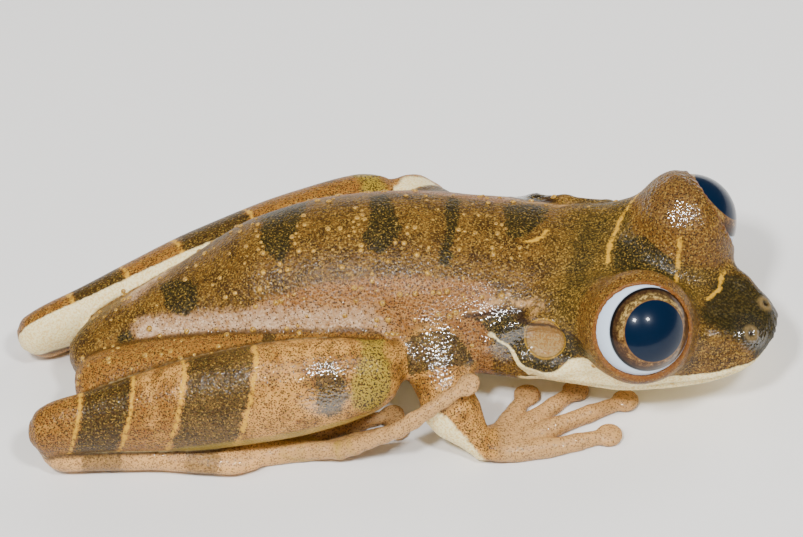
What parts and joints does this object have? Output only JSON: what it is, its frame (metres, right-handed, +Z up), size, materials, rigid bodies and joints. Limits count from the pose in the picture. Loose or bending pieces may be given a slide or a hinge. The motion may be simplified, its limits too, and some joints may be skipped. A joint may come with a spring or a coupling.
{
  "type": "tree frog model",
  "caption": "Life-size model of a tree frog, crouched with its legs folded, its head turned a little to the right and its hands under its throat.",
  "frame": {"origin": "on the floor, at the middle of the small flat that the belly rests on, below the highest point of the back", "axes": "+X ahead of the hips, +Y to the frog's left, +Z up"},
  "size_m": [0.0535, 0.027, 0.0134],
  "materials": {
    "skin_back": "glossy",
    "skin_pale": "glossy",
    "eye": "polished"
  },
  "bodies": {
    "root": {"torso": "skin_back", "head": "skin_back", "eye_right": "eye", "eye_left": "eye", "thigh_right": "skin_back", "thigh_left": "skin_back", "shank_right": "skin_back", "shank_left": "skin_back", "foot_right": "skin_pale", "foot_left": "skin_pale", "upper_arm_right": "skin_back", "upper_arm_left": "skin_back", "forearm_right": "skin_back", "forearm_left": "skin_back", "hand_right": "skin_pale", "hand_left": "skin_pale"}
  },
  "joints": []
}
